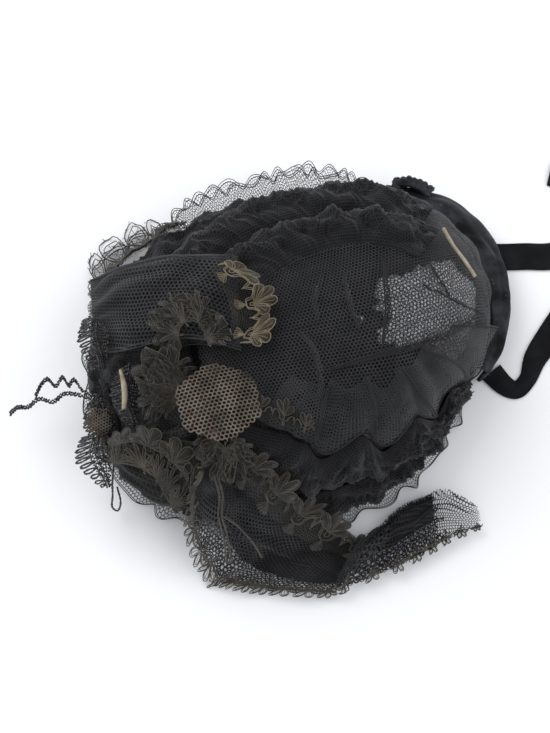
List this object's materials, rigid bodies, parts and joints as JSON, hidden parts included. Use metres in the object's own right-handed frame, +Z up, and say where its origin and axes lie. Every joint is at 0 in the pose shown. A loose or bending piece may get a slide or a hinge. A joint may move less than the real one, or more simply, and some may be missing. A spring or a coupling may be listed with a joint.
{
  "type": "poke bonnet",
  "caption": "Soft net crown on a stiffened open ring, with gathered net, folded net loops, lace, jet beads, a coarse mesh rosette and velvet ribbon ties.",
  "frame": {"origin": "middle of the bounding box's floor, on the surface the bonnet rests on", "axes": "+Z up out of the crown, +X towards the back of the neck and the ties, -X the trimmed front, -Y the wearer's left"},
  "size_m": [0.3214, 0.2116, 0.1016],
  "materials": {
    "black_net": "matt black net",
    "black_lace": "matt black lace",
    "brown_lace": "matt brown lace thread",
    "tan_mesh": "matt stiffened mesh",
    "velvet": "black velvet pile, worn at the edges",
    "jet": "glossy jet beads",
    "cream": "satin wrapped thread",
    "buckram": "matt stiffened net and covered wire"
  },
  "bodies": {
    "root": {"brim_frame": "buckram", "crown": "black_net", "frill_far": "black_net", "frill_near": "black_net", "ruche_far_1": "black_net", "ruche_far_2": "black_net", "ruche_far_3": "black_net", "ruche_near_1": "black_net", "ruche_near_2": "black_net", "tie_far": "velvet", "tie_near": "velvet", "velvet_binding": "velvet", "edge_wire": "buckram", "velvet_twist": "velvet", "crown_wire": "cream", "corner_lace": "black_lace", "bow_loop_upper": "black_net", "lace_border_upper": "brown_lace", "bow_loop_lower": "black_net", "lace_border_lower": "brown_lace", "drape": "black_net", "drape_lace": "brown_lace", "drape_tail": "black_net", "bead_leaf_1": "jet", "bead_leaf_2": "jet", "bead_leaf_3": "jet", "bead_leaf_4": "jet", "bead_spray_1": "jet", "bead_spray_2": "jet", "lace_ruffle_1": "brown_lace", "lace_ruffle_2": "brown_lace", "lace_ruffle_3": "brown_lace", "lace_leaf": "brown_lace", "quill": "cream", "mesh_petal": "tan_mesh", "mesh_disc": "tan_mesh"}
  },
  "joints": []
}
